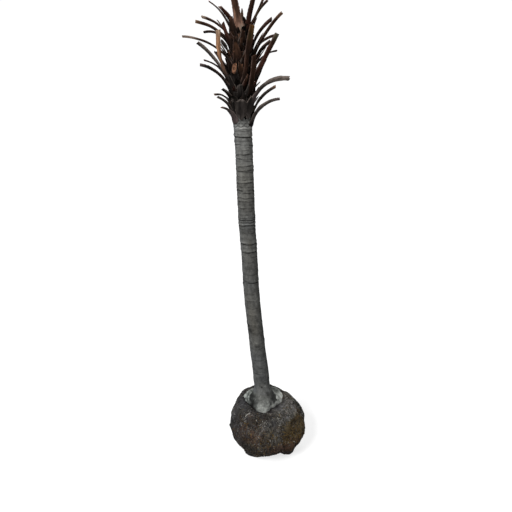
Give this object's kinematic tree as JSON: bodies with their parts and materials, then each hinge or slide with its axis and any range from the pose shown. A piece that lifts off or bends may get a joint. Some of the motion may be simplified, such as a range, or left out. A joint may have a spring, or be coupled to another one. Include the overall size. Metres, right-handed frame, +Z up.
{
  "type": "cut-back palm tree on its root ball",
  "caption": "Slender leaning palm trunk with leaf-scar rings and a flared foot, a crown of cut-off frond stalks, standing on the flat underside of a fibrous root ball.",
  "frame": {"origin": "centre of the flat underside of the root ball, on the surface it stands on", "axes": "+Z up along the trunk, the trunk leans towards -X, the pictured side faces -Y"},
  "size_m": [0.5429, 0.3889, 2.141],
  "materials": {
    "root_ball": "matted fibrous roots and dry soil, matt",
    "bark": "weathered grey ringed palm bark, matt, paler at the flared foot",
    "stub_brown": "dark reddish-brown frond stalk, dull",
    "stub_grey": "weathered grey-brown frond stalk, matt",
    "stub_pale": "light brown frond stalk with a pale cut end, matt",
    "stub_ochre": "orange-brown frond stalk with a pale cut end, matt"
  },
  "bodies": {
    "root": {"root_ball": "root_ball", "trunk": "bark", "frond_left_01": "stub_brown", "frond_left_02": "stub_pale", "frond_left_03": "stub_brown", "frond_left_04": "stub_brown", "frond_left_05": "stub_pale", "frond_left_06": "stub_brown", "frond_left_07": "stub_brown", "frond_left_08": "stub_brown", "frond_left_09": "stub_brown", "frond_left_10": "stub_ochre", "frond_left_11": "stub_grey", "frond_left_12": "stub_brown", "frond_left_13": "stub_grey", "frond_left_14": "stub_grey", "frond_left_15": "stub_grey", "frond_left_16": "stub_grey", "frond_left_17": "stub_grey", "frond_left_18": "stub_grey", "frond_left_19": "stub_brown", "frond_right_01": "stub_brown", "frond_right_02": "stub_pale", "frond_right_03": "stub_brown", "frond_right_04": "stub_pale", "frond_right_05": "stub_brown", "frond_right_06": "stub_brown", "frond_right_07": "stub_brown", "frond_right_08": "stub_brown", "frond_right_09": "stub_brown", "frond_right_10": "stub_brown", "frond_right_11": "stub_pale", "frond_right_12": "stub_pale", "frond_right_13": "stub_grey", "frond_front_01": "stub_brown", "frond_front_02": "stub_pale", "frond_front_03": "stub_ochre", "frond_front_04": "stub_brown", "frond_front_05": "stub_ochre", "frond_front_06": "stub_grey", "frond_front_07": "stub_grey", "frond_front_08": "stub_grey", "frond_front_09": "stub_brown", "frond_front_10": "stub_grey", "frond_back_01": "stub_grey", "frond_back_02": "stub_grey", "frond_back_03": "stub_grey", "frond_back_04": "stub_grey", "frond_back_05": "stub_grey", "frond_back_06": "stub_brown", "frond_back_07": "stub_brown", "frond_back_08": "stub_brown", "frond_back_09": "stub_brown", "frond_back_10": "stub_brown", "frond_back_11": "stub_brown", "frond_back_12": "stub_brown", "frond_back_13": "stub_brown", "frond_back_14": "stub_brown"}
  },
  "joints": []
}
